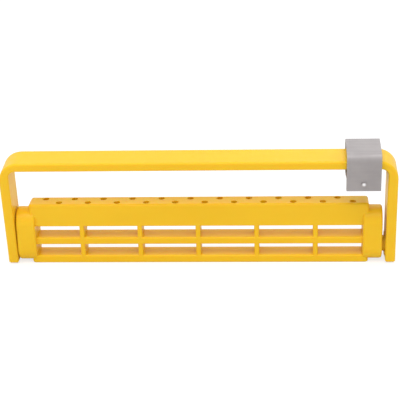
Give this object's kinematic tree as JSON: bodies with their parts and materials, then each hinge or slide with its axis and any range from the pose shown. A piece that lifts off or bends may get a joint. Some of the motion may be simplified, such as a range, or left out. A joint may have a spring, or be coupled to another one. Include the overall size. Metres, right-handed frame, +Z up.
{
  "type": "dental bur block",
  "caption": "Moulded dental bur block with two staggered rows of bur sockets, open windows, a hinged retaining bail and a folded metal strap that slides on the bail.",
  "frame": {"origin": "centre of the block's underside", "axes": "+X along the rows of sockets, towards the end where the strap sits, -Y is the front, +Z is up"},
  "size_m": [0.1465, 0.0169, 0.0468],
  "materials": {
    "block_plastic": "satin moulded plastic",
    "bail_plastic": "satin moulded plastic",
    "strap_metal": "matte grey sheet",
    "rivet_metal": "bright rivet head"
  },
  "bodies": {
    "block": {"body": "block_plastic"},
    "bail": {"bail": "bail_plastic"},
    "strap": {"strap": "strap_metal", "strap_rivet": "rivet_metal"}
  },
  "joints": [
    {"name": "bail_hinge", "type": "hinge", "parent": "block", "child": "bail", "pos_m": [0, 0, 0.0061], "axis": [1, 0, 0], "range_deg": [-91.5, 81]},
    {"name": "strap_slide", "type": "slide", "parent": "bail", "child": "strap", "axis": [1, 0, 0], "range_m": [-0.1214, 0]}
  ]
}
